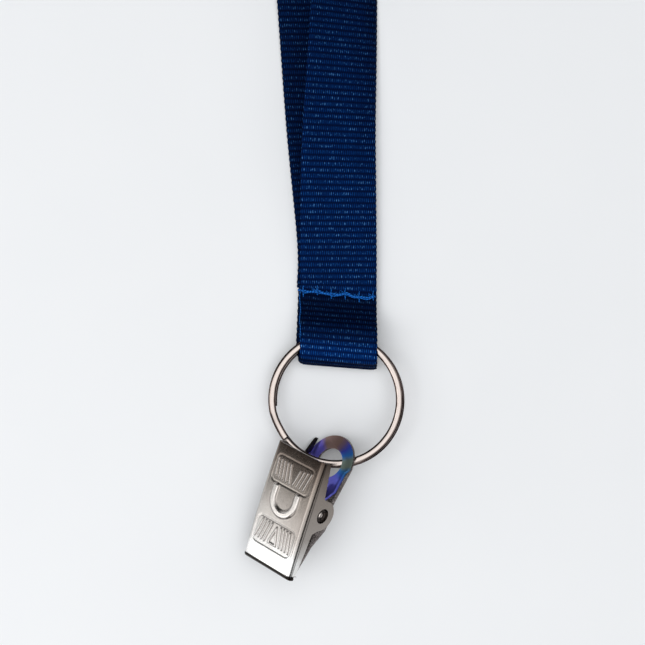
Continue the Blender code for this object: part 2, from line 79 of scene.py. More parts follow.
# Route of the two strands: y, right edge x, right edge z, roll in degrees
FRONT_ROUTE = (
    (28.7, 10.6, 1.5, 0.0),
    (37.0, 10.6, 1.5, 3.0),
    (48.0, 10.5, 1.5, 11.0),
    (59.0, 10.4, 1.5, 19.0),
    (72.0, 10.6, 0.9, 26.0),
    (85.0, 10.7, 0.4, 33.0),
    (98.0, 10.5, 0.4, 49.0),
    (112.0, 10.2, 0.4, 72.0),
    (126.0, 10.0, 0.4, 90.0),
)
BACK_ROUTE = (
    (28.7, 10.0, 0.4, 0.0),
    (37.0, 10.0, 0.4, 0.0),
    (59.0, 7.9, 0.4, 0.0),
    (85.0, 6.0, 0.4, 2.0),
    (98.0, 5.0, 0.4, 16.0),
    (112.0, 4.4, 0.4, 46.0),
    (125.0, 4.1, 0.4, 76.0),
    (138.8, 4.0, 0.4, 90.0),
)
COIL_CENTRE = Vector((44.0, 150.0))
COIL_TURNS = 1.5
COIL_STEP = 12.0                 # how far the doubled strap moves in on each turn
COIL_FRONT_R = 34.0
COIL_BACK_R = 40.0
# The bend that joins the two strands inside the coil: along the turn, out from the centre
COIL_BEND = (
    (4.0, 14.9), (7.0, 11.5), (7.6, 7.0), (9.0, 2.5), (13.0, -0.3), (17.3, 1.6),
    (18.9, 6.2), (17.6, 11.0), (14.2, 15.2), (9.6, 18.7), (4.8, 21.0),
)

# Painted shade and painted highlight along the strap, measured from the seam: dark from the seam to the wire,
# a bright band where it bulges over the wire, dark at the fold, and darker up the strand as it rolls
STRAP_PAINTED_LIGHT = (
    (-15.0, 0.25), (-14.2, 0.30), (-13.5, 0.75), (-12.3, 1.0), (-10.8, 0.85), (-9.4, 0.45),
    (-6.0, 0.24), (-0.8, 0.22), (0.3, 0.62), (20.0, 0.66), (45.0, 0.55), (72.0, 0.36),
)
TONE_START = 16.0
TONE_LENGTH = 90.0

# Split ring
RING_MEAN_R = 12.45
WIRE_RADIAL = 1.44
WIRE_AXIAL = 0.8
TURN_GAP = 0.1
RING_CENTRE = Vector((2.56, 6.0, 3.45))
RING_TILT_X = -2.6
RING_TILT_Y = -4.6
RING_END_ANGLE = 215.5
RING_SWEEP = 688.0
STEP_START = 332.0               # the wire steps down to its second turn between these angles
STEP_END = 356.0
TURN_DRIFT = (0.22, -0.16, 0.0)  # the second turn lies this far aside
WIRE_POINTS = 28                 # corners of the wire's section
SHADE_LINE_CORNER = 5.0                # a painted line of shade runs along the wire at this corner, for the dark edge between the two turns

# Clip, in its own frame: origin on the pivot, +X along the pivot, +Y to the levers, +Z outward
CLIP_HEADING = -17.5
CLIP_PITCH = 7.1
CLIP_ROLL = -40.8
SHEET = 0.5
FRONT_WIDTH = 12.7
LEVER_END_Y = 10.5
JAW_TIP_Y = -13.2
FRONT_FACE_Z = 4.4
FRONT_EAR_R = 3.0
HORSESHOE_Y = 0.75
HORSESHOE_R = 2.95
RIB_HEIGHT = 0.22
PANELS_Y = (5.75, -6.6)          # middles of the two ribbed panels
EYELET_R = 1.5
BEND_R = 0.8
LIP_DEPTH = 1.9
UNDER_BEND_SHADE_Z = 3.42              # a painted shade line runs along the sides here, just under the bends
TIP_SHADE_Y = -12.25             # beyond this the bitten-down tip is painted black as shade
TAB_HOLE_Y = 8.6
KNEE_Y = 1.95
KNEE_Z = -3.26
LEVER_SPLAY = 17.0
SPRING_R = 1.95
SPRING_WIRE = 0.85
SPRING_TURNS = 4
SPRING_PITCH = 1.1
SPRING_LEG_Y = 5.8

# Temper colours round the tab's hole, by angle in degrees from the clip's right side
TEMPER_TINTS = (
    (-60.0, (0.26, 0.24, 0.95)),
    (-28.0, (0.20, 0.22, 0.98)),
    (-14.0, (0.06, 0.22, 0.85)),
    (-2.0, (0.06, 0.30, 0.72)),
    (9.0, (0.28, 0.36, 0.30)),
    (30.0, (0.26, 0.34, 0.30)),
    (42.0, (0.05, 0.26, 0.78)),
    (60.0, (0.08, 0.11, 0.72)),
    (76.0, (0.26, 0.17, 0.28)),
    (92.0, (0.33, 0.21, 0.18)),
    (132.0, (0.33, 0.22, 0.20)),
    (150.0, (0.20, 0.17, 0.80)),
    (180.0, (0.22, 0.20, 0.90)),
)


def joint(name):
    """One joint of the frame, by name."""
    return next(j for j in frame["joints"] if j["name"] == name)


PIVOT = Vector(joint("jaw_open")["pos_m"]) / MM
CLIP_TURN = (
    Matrix.Rotation(math.radians(CLIP_HEADING), 3, "Z")
    @ Matrix.Rotation(math.radians(CLIP_PITCH), 3, "X")
    @ Matrix.Rotation(math.radians(CLIP_ROLL), 3, "Y")
)


# ---------------------------------------------------------------- node helper

class Wire:
    """A node socket that can be used in Python sums: each operator adds a Math node."""

    def __init__(self, nodes, socket):
        self.nodes = nodes
        self.socket = socket

    def math(self, operation, *others):
        values = {0: self}
        for i, other in enumerate(others):
            values[i + 1] = other
        return self.nodes.add("ShaderNodeMath", {"operation": operation}, values)[0]

    def __add__(self, other):
        return self.math("ADD", other)

    __radd__ = __add__

    def __sub__(self, other):
        return self.math("SUBTRACT", other)

    def __rsub__(self, other):
        return self.nodes.add("ShaderNodeMath", {"operation": "SUBTRACT"}, {0: other, 1: self})[0]

    def __mul__(self, other):
        return self.math("MULTIPLY", other)

    __rmul__ = __mul__

    def __truediv__(self, other):
        return self.math("DIVIDE", other)

    def __pow__(self, other):
        return self.math("POWER", other)

    def clamp(self):
        return self.nodes.add("ShaderNodeClamp", {}, {"Value": self})[0]


class Nodes:
    """One material's node tree."""

    def __init__(self, name):
        self.material = bpy.data.materials.new(name)
        self.material.use_nodes = True
        self.tree = self.material.node_tree
        self.shader = self.tree.nodes["Principled BSDF"]

    def add(self, kind, settings, inputs):
        node = self.tree.nodes.new(kind)
        for key, value in settings.items():
            if key == "stops":
                ramp = node.color_ramp
                while len(ramp.elements) < len(value):
                    ramp.elements.new(0.5)
                for element, (place, colour) in zip(ramp.elements, value):
                    element.position = place
                    element.color = (*colour, 1.0)
            else:
                setattr(node, key, value)
        for key, value in inputs.items():
            self.plug(node.inputs[key], value)
        return [Wire(self, socket) for socket in node.outputs]

    def plug(self, socket, value):
        if isinstance(value, Wire):
            self.tree.links.new(value.socket, socket)
        elif isinstance(value, (tuple, list)) and len(value) == 3 and socket.type == "RGBA":
            socket.default_value = (*value, 1.0)
        else:
            socket.default_value = value

    def set(self, **sockets):
        for key, value in sockets.items():
            self.plug(self.shader.inputs[key.replace("_", " ")], value)

    def place(self):
        """Object coordinates in millimetres, as one vector."""
        coords = self.add("ShaderNodeTexCoord", {}, {})[3]
        return self.add("ShaderNodeVectorMath", {"operation": "SCALE"}, {0: coords, "Scale": 1 / MM})[0]

    def uv(self, name):
        """The u and v of a named UV map, which holds millimetres."""
        vector = self.add("ShaderNodeUVMap", {"uv_map": name}, {})[0]
        parts = self.add("ShaderNodeSeparateXYZ", {}, {0: vector})
        return vector, parts[0], parts[1]

    def noise(self, vector, scale, detail=2.0, roughness=0.5):
        sockets = {"Vector": vector, "Scale": scale, "Detail": detail, "Roughness": roughness}
        return self.add("ShaderNodeTexNoise", {}, sockets)[0]

    def stretched(self, vector, scale, turn=0.0):
        sockets = {"Vector": vector, "Scale": scale, "Rotation": (0.0, 0.0, turn)}
        return self.add("ShaderNodeMapping", {}, sockets)[0]

    def mix(self, share, first, second):
        sockets = {0: share, 6: first, 7: second}
        return self.add("ShaderNodeMix", {"data_type": "RGBA"}, sockets)[2]

    def ramp(self, share, stops):
        return self.add("ShaderNodeValToRGB", {"stops": stops}, {0: share})[0]

    def bump(self, height, distance, strength=1.0):
        sockets = {"Height": height, "Distance": distance * MM, "Strength": strength}
        return self.add("ShaderNodeBump", {}, sockets)[0]


# ---------------------------------------------------------------- materials

def woven_navy():
    """Ribbed navy webbing: fine warp threads that cross each rib, in a UV map of millimetres. Its colour also
    holds painted shade and painted highlight along the strap, painted glints on the ribs, and painted shade
    in the rib valleys and on the strand's rolled side.
    """
    n = Nodes("woven_navy")
    vector, across, along = n.uv("weave")
    rib = (along * (math.tau / RIB_PITCH)).math("COSINE") * 0.5 + 0.5
    row = (along / RIB_PITCH + 0.5).math("FLOOR")
    shift = row.math("MODULO", 2.0) * math.pi
    warp = (across * (math.tau / WARP_PITCH) + shift).math("COSINE") * 0.5 + 0.5
    slub = n.noise(n.stretched(vector, (6.0, 1.1, 1.0)), 1.0, 3.0)
    cloud = n.noise(n.stretched(vector, (0.35, 0.12, 1.0)), 1.0, 2.0)
    # The rib valleys are darker: partly the weave's own gaps, partly painted shade in the grooves.
    crown = 0.30 + 0.70 * (1.0 - (1.0 - rib) ** 2.6)
    # Painted glints: short bright dashes on the warp threads over the rib crests.
    glint_noise = n.noise(n.stretched(vector, (4.8, 1.35, 1.0)), 1.0, 1.0, 0.4)
    painted_glint = (glint_noise - 0.55).clamp() * 8.0 * rib * (warp * 0.7 + 0.3)
    lit = (crown * (0.22 + warp * 0.66) * (0.42 + slub * 0.78) + painted_glint * 0.60).clamp()
    colour = n.ramp(lit, (
        (0.0, (0.0001, 0.0015, 0.0120)),
        (0.30, (0.0001, 0.0130, 0.0850)),
        (0.60, (0.0004, 0.0300, 0.1700)),
        (0.80, (0.0060, 0.0900, 0.3500)),
        (1.0, (0.0900, 0.3000, 0.7000)),
    ))
    colour = n.mix(cloud * 0.45, colour, (0.0003, 0.006, 0.038))
    # painted shade and painted highlight along the strap, measured from the seam
    tone = n.ramp((along + TONE_START) / TONE_LENGTH, tuple(
        ((place + TONE_START) / TONE_LENGTH, (grey, grey, grey)) for place, grey in STRAP_PAINTED_LIGHT))
    # Painted shade: the right side of the front strand, which rolls away from the light, is darkened.
    rolled = ((along - 12.0) / 50.0).clamp() * ((110.0 - along) / 20.0).clamp()
    painted_roll_shade = ((across - 1.0 + (cloud - 0.5) * 4.0) / 6.0).clamp() * rolled
    tone = n.mix(painted_roll_shade * 0.62, tone, (0.06, 0.06, 0.09))
    colour = n.add("ShaderNodeMix", {"data_type": "RGBA", "blend_type": "MULTIPLY"},
                   {0: 1.0, 6: colour, 7: tone})[2]
    thread = warp * 0.6 + slub * 0.6 + rib * 0.25
    n.set(
        Base_Color=colour,
        Roughness=0.52 + slub * 0.22,
        Normal=n.bump(thread, 0.07, 0.8),
        Specular_IOR_Level=0.02,
    )
    return n.material


def stitch_blue():
    """Two-ply sewing thread, a lighter blue than the cloth."""
    n = Nodes("stitch_blue")
    _, around, along = n.uv("weave")
    ply = ((along / 0.55 + around) * math.tau).math("COSINE") * 0.5 + 0.5
    fuzz = n.noise(n.place(), 4.0, 3.0)
    colour = n.mix((ply * (0.5 + fuzz * 0.8)).clamp(), (0.001, 0.035, 0.20), (0.012, 0.19, 0.66))
    n.set(
        Base_Color=colour,
        Roughness=0.45 + fuzz * 0.2,
        Normal=n.bump(ply + fuzz * 0.3, 0.08),
        Specular_IOR_Level=0.1,
    )
    return n.material


def clip_distance(n, column):
    """Distance from the clip's pivot along one of the clip's own axes, in millimetres."""
    axis = CLIP_TURN.col[column]
    parts = n.add("ShaderNodeSeparateXYZ", {}, {0: n.place()})
    offset = -PIVOT.dot(axis)
    return parts[0] * axis.x + parts[1] * axis.y + parts[2] * axis.z + offset


def rolled_wire():
    """Nickel wire with a painted highlight along its crown and painted shade, a dark brown, down its sides.
    """
    n = Nodes("rolled_wire")
    _, around, sweep = n.uv("weave")
    place = n.place()
    haze = n.noise(place, 0.5, 3.0)
    fine = n.noise(place, 6.0, 2.0, 0.7)
    # Painted light: the crown of the wire is lightened as a highlight and its sides are darkened as shade.
    facing = (around * (math.tau / WIRE_POINTS)).math("SINE").math("ABSOLUTE")
    crown = ((facing - 0.74 + (haze - 0.5) * 0.22) * 5.0).clamp()
    cut_end = ((5.0 - sweep) * 0.5).clamp()
    # Painted shade line along one corner of the wire, for the dark edge between the two turns.
    seam = (1.0 - (around - SHADE_LINE_CORNER).math("ABSOLUTE") * 1.1).clamp()
    crown = crown * (1.0 - seam * 0.8)
    tone = n.mix(crown, (0.050, 0.030, 0.026), (0.54, 0.47, 0.43))
    tone = n.mix(cut_end, tone, (0.02, 0.015, 0.014))
    n.set(
        Base_Color=n.mix((fine - 0.6).clamp() * 2.0, tone, (0.12, 0.08, 0.07)),
        Metallic=1.0,
        Roughness=0.12 + haze * 0.08,
        Normal=n.bump(haze + fine * 0.2, 0.02, 0.3),
    )
    return n.material


def stained_plate():
    """The pressed plate: brown and speckled at the lever end, bright at the tip. The speckles and part of the
    brown are real discolouration; the run from dark to bright along the plate and the lighter left side are
    painted reflection, and the colour also holds painted shade on the edges and slopes and painted highlights
    on the rib crests.
    """
    n = Nodes("clip_plate")
    place = n.place()
    along = clip_distance(n, 1)
    across = clip_distance(n, 0)
    haze = n.noise(place, 0.45, 4.0, 0.6)
    speck = n.noise(place, 6.5, 2.0, 0.75)
    drawn = n.noise(n.stretched(place, (9.0, 0.9, 0.9), math.radians(17)), 1.0, 3.0)
    # Along the plate: partly real brown discolouration at the lever end, partly a painted reflection that is
    # darkest at the lever end and brightest at the tip.
    share = ((along + 13.5 + (haze - 0.5) * 3.0) / 24.0).clamp()
    tone = n.ramp(share, (
        (0.0, (0.92, 0.91, 0.90)),
        (0.14, (0.90, 0.89, 0.87)),
        (0.20, (0.66, 0.64, 0.62)),
        (0.42, (0.60, 0.57, 0.54)),
        (0.70, (0.46, 0.42, 0.38)),
        (0.88, (0.27, 0.23, 0.20)),
        (1.0, (0.10, 0.075, 0.062)),
    ))
    # Painted reflection: the left side, which faces the window, is lighter than the right.
    from_left = ((across + 6.35) / 12.7).clamp()
    painted_left_light = n.mix(from_left, (1.0, 1.0, 1.0), (0.58, 0.55, 0.53))
    tone = n.add("ShaderNodeMix", {"data_type": "RGBA", "blend_type": "MULTIPLY"},
                 {0: (share * 6.0 - 1.1).clamp(), 6: tone, 7: painted_left_light})[2]
    grit = ((speck - 0.56).clamp() * 5.0 * share).clamp()
    tone = n.mix(grit * 0.7, tone, (0.10, 0.07, 0.055))
    # Painted highlight on the crests of the pressed ribs.
    crest = n.add("ShaderNodeAttribute", {"attribute_name": "crest"}, {})[2]
    tone = n.mix(crest * 0.70, tone, (0.86, 0.82, 0.78))
    # Painted shade on the steep sides of the pressed pattern.
    slope = n.add("ShaderNodeAttribute", {"attribute_name": "slope"}, {})[2]
    painted_slope_shade = ((slope - 0.25) * 1.6).clamp() * (1.35 - haze)
    tone = n.mix(painted_slope_shade * 0.75, tone, (0.085, 0.065, 0.055))
    # Painted shade: a dark line along the plate's left edge, one just under the right bend, and the
    # bitten-down tip.
    left_edge_shade = ((-5.95 - across) * 5.0).clamp()
    outward = clip_distance(n, 2)
    under_bend_shade = (1.0 - (outward - UNDER_BEND_SHADE_Z).math("ABSOLUTE") * 5.0).clamp()
    under_bend_shade = under_bend_shade * ((across - 6.2) * 12.0).clamp()
    tip_shade = ((TIP_SHADE_Y - along) * 8.0).clamp()
    tone = n.mix((left_edge_shade * 0.85 + under_bend_shade * 0.9 + tip_shade).clamp(), tone, (0.020, 0.016, 0.014))
    n.set(
        Base_Color=tone,
        Metallic=1.0,
        Roughness=0.15 + haze * 0.08 + drawn * 0.08 + grit * 0.25,
        Normal=n.bump(haze * 0.5 + speck * 0.10 + drawn * 0.05, 0.05, 0.35),
    )
    return n.material


def heat_tint():
    """Back jaw's inside: nickel with brown, blue, green and violet temper colours."""
    n = Nodes("heat_tint")
    vector, across, along = n.uv("sheet")
    drift = n.noise(n.stretched(vector, (0.45, 0.35, 1.0)), 1.0, 3.0)
    round_hole = (along - TAB_HOLE_Y).math("ARCTAN2", across) * (180.0 / math.pi)
    spread = ((round_hole + 60.0 + (drift - 0.5) * 22.0) / 260.0).clamp()
    tint = n.ramp(spread, tuple(((angle + 60.0) / 260.0, colour) for angle, colour in TEMPER_TINTS))
    fine = n.noise(n.place(), 6.0, 3.0)
    n.set(
        Base_Color=tint,
        Metallic=0.85,
        Roughness=0.26 + fine * 0.16,
        Normal=n.bump(fine, 0.02, 0.4),
    )
    return n.material


def shade_black_steel():
    """Steel painted nearly black as shade, with a few bright rubbed specks."""
    n = Nodes("shade_black_steel")
    grain = n.noise(n.place(), 6.0, 3.0, 0.7)
    worn = ((grain - 0.60).clamp() * 6.0).clamp()
    n.set(
        Base_Color=n.mix(worn, (0.018, 0.015, 0.014), (0.45, 0.38, 0.35)),
        Metallic=1.0,
        Roughness=0.35 + grain * 0.2,
    )
    return n.material


def worn_steel():
    """Smoked plate that has rubbed bright in specks."""
    n = Nodes("worn_steel")
    place = n.place()
    haze = n.noise(place, 0.5, 3.0)
    grain = n.noise(place, 4.5, 3.0, 0.7)
    worn = ((grain - 0.52 + (haze - 0.5) * 0.3) * 7.0).clamp()
    n.set(
        Base_Color=n.mix(worn, (0.085, 0.070, 0.066), (0.46, 0.41, 0.39)),
        Metallic=1.0,
        Roughness=0.20 + grain * 0.16,
        Normal=n.bump(grain, 0.03, 0.4),
    )
    return n.material


def pin_nickel():
    """The pin's ends: painted shade in a ring out to the rolled rim, a painted highlight in the middle and a
    lighter outer edge.
    """
    n = Nodes("pin_nickel")
    along = clip_distance(n, 1)
    outward = clip_distance(n, 2)
    away = (along * along + outward * outward) ** 0.5
    grain = n.noise(n.place(), 6.0, 3.0)
    # Painted highlight in the middle of the pin's end, painted shade in the ring round it.
    middle = ((0.62 - away) * 6.0).clamp()
    rim = ((away - 1.22) * 8.0).clamp()
    tone = n.mix(middle, (0.035, 0.028, 0.025), (0.62, 0.56, 0.52))
    tone = n.mix(rim * 0.5, tone, (0.30, 0.27, 0.25))
    n.set(
        Base_Color=tone,
        Metallic=1.0,
        Roughness=0.16 + grain * 0.14,
    )
    return n.material


def dark_steel():
    """Plain grey spring wire."""
    n = Nodes("dark_steel")
    grain = n.noise(n.place(), 5.0, 3.0)
    n.set(
        Base_Color=n.mix(grain, (0.16, 0.15, 0.14), (0.34, 0.33, 0.32)),
        Metallic=1.0,
        Roughness=0.28 + grain * 0.2,
    )
    return n.material


def paper_white():
    """The pale table top."""
    n = Nodes("paper_white")
    tooth = n.noise(n.place(), 0.05, 2.0)
    n.set(
        Base_Color=n.mix(tooth, (0.845, 0.855, 0.865), (0.865, 0.872, 0.880)),
        Roughness=0.75,
    )
    return n.material


# ---------------------------------------------------------------- mesh helpers

def new_object(name, mesh, mat):
    """Put a mesh in the scene with one material."""
    obj = bpy.data.objects.new(name, mesh)
    bpy.context.scene.collection.objects.link(obj)
    mesh.materials.clear()
    mesh.materials.append(mat)
    return obj


def deselect():
    """Leave nothing selected."""
    for obj in bpy.data.objects:
        obj.select_set(False)


def activate(obj):
    """Select one object alone."""
    deselect()
    obj.select_set(True)
    bpy.context.view_layer.objects.active = obj


def apply_all(obj):
    """Make every modifier part of the mesh."""
    activate(obj)
    for mod in list(obj.modifiers):
        bpy.ops.object.modifier_apply(modifier=mod.name)


def smooth_by_angle(obj, degrees=35.0):
    """Shade smooth, with edges sharper than this angle kept crisp."""
    activate(obj)
    bpy.ops.object.shade_smooth_by_angle(angle=math.radians(degrees))


def shown(obj, body, slot, *nodes):
    """Hand a finished piece to its body and hide the solids that it stands for. The slot is not used."""
    if body:
        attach(obj, body)
    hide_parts(*nodes)
    return obj


def closed_tube(name, loops, uvs, mat):
    """A skin over a row of equal closed loops, capped at both ends, with a UV map per point."""
    count = len(loops[0])
    verts = [p for loop in loops for p in loop]
    faces = []
    face_uvs = []
    for j in range(len(loops) - 1):
        for i in range(count):
            k = (i + 1) % count
            corners = ((j, i), (j, k), (j + 1, k), (j + 1, i))
            faces.append([a * count + b for a, b in corners])
            face_uvs.append([uvs[j][i], uvs[j][i + 1], uvs[j + 1][i + 1], uvs[j + 1][i]])
    last = len(loops) - 1
    faces.append(list(reversed(range(count))))
    face_uvs.append([uvs[0][i] for i in reversed(range(count))])
    faces.append([last * count + i for i in range(count)])
    face_uvs.append([uvs[last][i] for i in range(count)])
    mesh = bpy.data.meshes.new(name)
    mesh.from_pydata([Vector(v) * MM for v in verts], [], faces)
    layer = mesh.uv_layers.new(name="weave")
    flat = [c for face in face_uvs for uv in face for c in uv]
    layer.data.foreach_set("uv", flat)
    mesh.validate()
    obj = new_object(name, mesh, mat)
    bm = bmesh.new()
    bm.from_mesh(mesh)
    bmesh.ops.recalc_face_normals(bm, faces=bm.faces)
    bm.to_mesh(mesh)
    bm.free()
    for polygon in mesh.polygons:
        polygon.use_smooth = True
    return obj


def smooth_curve(points, per_span):
    """Catmull-Rom points through a list of tuples of any length."""
    result = []
    last = len(points) - 1
    for i in range(last):
        p0 = points[max(i - 1, 0)]
        p1 = points[i]
        p2 = points[i + 1]
        p3 = points[min(i + 2, last)]
        for k in range(per_span):
            t = k / per_span
            result.append(tuple(
                0.5 * (2 * b + (c - a) * t + (2 * a - 5 * b + 4 * c - d) * t ** 2
                       + (3 * b - a - 3 * c + d) * t ** 3)
                for a, b, c, d in zip(p0, p1, p2, p3)
            ))
    result.append(tuple(points[-1]))
    return result


def round_tube(name, points, radius, sides, mat):
    """A round cord of mesh along points, with UVs: turns around, millimetres along."""
    loops = []
    uvs = []
    travelled = 0.0
    side = None
    for i, point in enumerate(points):
        here = Vector(point)
        ahead = Vector(points[min(i + 1, len(points) - 1)])
        behind = Vector(points[max(i - 1, 0)])
        along = (ahead - behind).normalized()
        if side is None:
            side = along.orthogonal().normalized()
        side = (side - along * side.dot(along)).normalized()
        other = along.cross(side)
        if i:
            travelled += (here - Vector(points[i - 1])).length
        loops.append([
            here + (side * math.cos(math.tau * k / sides) + other * math.sin(math.tau * k / sides)) * radius
            for k in range(sides)
        ])
        uvs.append([(k / sides, travelled) for k in range(sides + 1)])
    return closed_tube(name, loops, uvs, mat)


# ---------------------------------------------------------------- strap

def strand_samples(route, per_span):
    """Right edge and left edge points of a strand along its route."""
    samples = []
    for y, edge_x, edge_z, roll in smooth_curve(list(route), per_span):
        angle = math.radians(roll)
        settle = 0.34 * max(0.0, math.sin(angle)) if edge_z < 0.6 else 0.0
        right = Vector((edge_x, y, edge_z - settle))
        left = right + Vector((-math.cos(angle), 0.0, math.sin(angle))) * STRAP_WIDTH
        samples.append((left, right))
    return samples


def standing(x, y):
    """Edges of the strap where it stands on its right edge."""
    low = 0.06
    return Vector((x, y, low + STRAP_WIDTH)), Vector((x, y, low))


def coil_turns(radius):
    """Edges of one strand as it winds inward round the coil."""
    samples = []
    steps = int(96 * COIL_TURNS)
    for i in range(1, steps + 1):
        turned = COIL_TURNS * i / steps
        angle = math.pi - math.tau * turned
        r = radius - COIL_STEP * turned
        samples.append(standing(
            COIL_CENTRE.x + r * math.cos(angle),
            COIL_CENTRE.y + r * math.sin(angle),
        ))
    return samples


def coil_bend():
    """Edges along the bend inside the coil, from the front strand's end to the back strand's."""
    angle = math.pi - math.tau * COIL_TURNS
    out = Vector((math.cos(angle), math.sin(angle)))
    onward = Vector((out.y, -out.x))
    front = COIL_FRONT_R - COIL_STEP * COIL_TURNS
    back = COIL_BACK_R - COIL_STEP * COIL_TURNS
    points = [(-2.5, front - 0.15), (0.0, front)] + list(COIL_BEND) + [(0.0, back), (-2.5, back + 0.1)]
    samples = []
    for along, away in smooth_curve(points, 6)[7:-6]:
        spot = COIL_CENTRE + onward * along + out * away
        samples.append(standing(spot.x, spot.y))
    return samples


def seam_y(x):
    """Where the row of stitching crosses the strap at x."""
    return SEAM_Y + SEAM_SLANT * (x - STRAP_X)


def band_samples():
    """Edges of the whole band from the seam up, round the coil and back down to the seam."""
    front = strand_samples(FRONT_ROUTE, 14)
    start = [(Vector((p.x, seam_y(p.x), p.z)), Vector((q.x, seam_y(q.x), q.z))) for p, q in front[:1]]
    front = start + front
    front += [standing(10.0, y) for y in (130.0, 134.0, 138.0, 142.0, 146.0, 150.0)]
    front += coil_turns(COIL_FRONT_R)
    back = strand_samples(BACK_ROUTE, 14)
    low = [(Vector((p.x, seam_y(p.x) + 0.6, p.z)), Vector((q.x, seam_y(q.x) + 0.6, q.z)))
           for p, q in back[:1]]
    back = low + back
    back += [standing(4.0, y) for y in (142.0, 146.0, 150.0)]
    back += coil_turns(COIL_BACK_R)
    return front + coil_bend() + back[::-1]


def rib_height(along):
    """How high the weave stands at this distance along the strap."""
    return RIB_DEPTH * (0.5 + 0.5 * math.cos(math.tau * along / RIB_PITCH))


def cloth_loop(left, right, normal, along, columns):
    """The band's cross-section at one row: over the top from left to right, then back below."""
    half = STRAP_THICK / 2
    rib = rib_height(along)
    wobble = 0.05 * math.cos(math.tau * along / RIB_PITCH)
    across = (right - left).normalized()
    points = []
    widths = []
    for side in (1.0, -1.0):
        for i in range(columns + 1):
            share = i / columns if side > 0 else 1 - i / columns
            # columns sit closer together at the edges, where the band rounds over
            eased = 0.5 - 0.5 * math.cos(math.pi * share)
            share = 0.35 * share + 0.65 * eased
            edge = abs(2 * share - 1)
            round_off = (1.0 - edge ** 14) ** 0.5 if edge < 1 else 0.0
            rise = (half - RIB_DEPTH + rib) * (0.22 + 0.78 * round_off)
            spot = left + (right - left) * share + across * wobble * (1 if share > 0.5 else -1) * edge ** 6
            points.append(spot + normal * rise * side)
            widths.append(((share - 0.5) * STRAP_WIDTH, along))
    return points, widths + [widths[0]]


def sweep_band(name, samples, mat, columns, rows_per_rib):
    """Weave a band along left and right edge samples. rows_per_rib takes the distance travelled."""
    middles = [(a + b) / 2 for a, b in samples]
    travelled = [0.0]
    for a, b in zip(middles, middles[1:]):
        travelled.append(travelled[-1] + (b - a).length)
    total = travelled[-1]
    loops = []
    uvs = []
    place = 0.0
    index = 0
    path = []
    while place <= total:
        while index < len(travelled) - 2 and travelled[index + 1] < place:
            index += 1
        span = travelled[index + 1] - travelled[index]
        t = min(1.0, (place - travelled[index]) / span) if span else 0.0
        left = samples[index][0].lerp(samples[index + 1][0], t)
        right = samples[index][1].lerp(samples[index + 1][1], t)
        before = middles[max(index - 1, 0)]
        after = middles[min(index + 2, len(middles) - 1)]
        ahead = middles[index + 1] - middles[index]
        direction = (ahead.normalized() + (after - before).normalized()).normalized()
        normal = (right - left).cross(direction).normalized()
        loop, widths = cloth_loop(left, right, normal, place, columns)
        loops.append(loop)
        uvs.append(widths)
        path.append((left + right) / 2)
        place += RIB_PITCH / rows_per_rib(place, total)
    return closed_tube(name, loops, uvs, mat), path, total


def fine_near_ends(place, total):
    """Rows per rib: more on the stretches next to the seam."""
    return 6 if min(place, total - place) < 66.0 else 4


def build_band(mat):
    """The whole strap from seam to seam, as one woven band."""
    band, path, total = sweep_band("band", band_samples(), mat, 12, fine_near_ends)
    shown(band, "strap", "strap_cloth", "strap_front_run", "strap_back_run", "strap_coil")
    step = max(1, len(path) // 900)
    tuple(path[0] * MM)
    round(total * MM, 3)
    [tuple(p * MM) for p in path[::step]] + [tuple(path[-1] * MM)]
    return band


def wire_over(x):
    """Middle of the ring's wire, as (y, z), where it crosses the strap at x."""
    dx = x - RING_CENTRE.x
    dy = math.sqrt(RING_MEAN_R ** 2 - dx ** 2)
    z = (RING_CENTRE.z - math.tan(math.radians(RING_TILT_Y)) * dx
         + math.tan(math.radians(RING_TILT_X)) * dy)
    return RING_CENTRE.y + dy, z


def loop_section(x, share):
    """Middle line of the sewn end at x, from the seam's back layer round the wire to the seam."""
    half = STRAP_THICK / 2
    top_layer = STRAP_THICK + LAYER_GAP + half
    fold = FOLD_LEFT_Y + (FOLD_RIGHT_Y - FOLD_LEFT_Y) * share
    wire_z = wire_over(x)[1]
    over = wire_z + WIRE_AXIAL + TURN_GAP / 2 + LAYER_GAP * 0.6 + half
    top = seam_y(x)
    points = [
        (top + 1.2, half),
        (23.0, half),
        (18.0, half),
        (fold + 2.6, half + 0.02),
        (fold + 0.85, half + 0.45),
        (fold + half, half + 1.25),
        (fold + 0.75, half + 2.2),
        (fold + 1.75, over - 0.35),
        (fold + 3.4, over),
        (fold + 7.2, over + 0.02),
        (fold + 9.3, top_layer + 0.52 * (over - top_layer)),
        (top - 2.4, top_layer + 0.08),
        (top, top_layer),
    ]
    return smooth_curve(points, 60)


